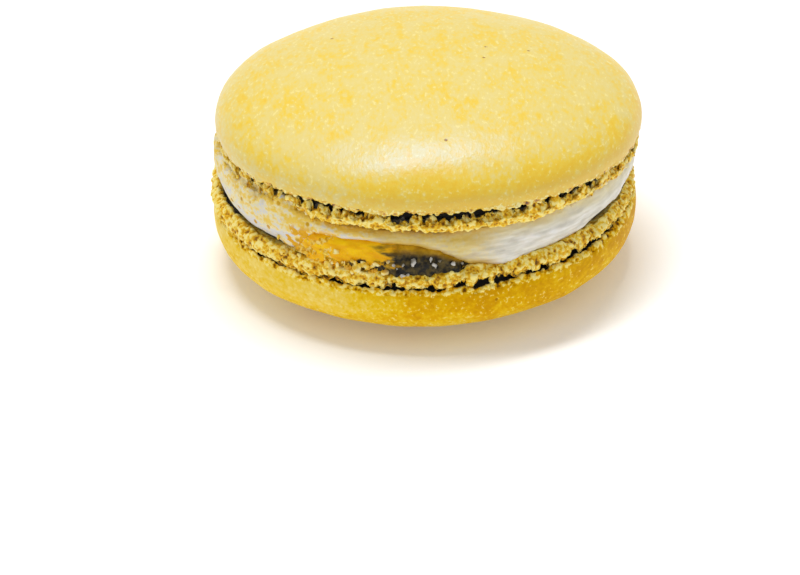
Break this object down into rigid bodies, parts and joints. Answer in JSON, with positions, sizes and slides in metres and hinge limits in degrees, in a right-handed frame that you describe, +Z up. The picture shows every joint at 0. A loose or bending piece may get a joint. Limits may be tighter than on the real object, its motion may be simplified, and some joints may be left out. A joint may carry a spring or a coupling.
{
  "type": "macaron",
  "caption": "Round filled macaron: smooth domed almond shells with ruffled feet, a pale cream layer between them and dark caramel showing at the rim.",
  "frame": {"origin": "middle of the flat spot on the lower shell's crown, where the macaron rests", "axes": "+Z up through the stack of shells, -Y towards the side where the caramel shows, +X to the right seen from that side"},
  "size_m": [0.0478, 0.0471, 0.0248],
  "materials": {
    "baked_shell": "baked almond meringue, matte with a faint satin sheen, finely grained, crumbly at the foot",
    "pale_cream": "soft satin cream",
    "dark_caramel": "wet glossy caramel, amber where it is thin"
  },
  "bodies": {
    "root": {"lower_shell": "baked_shell", "upper_shell": "baked_shell", "cream_filling": "pale_cream", "caramel_filling": "dark_caramel"}
  },
  "joints": []
}
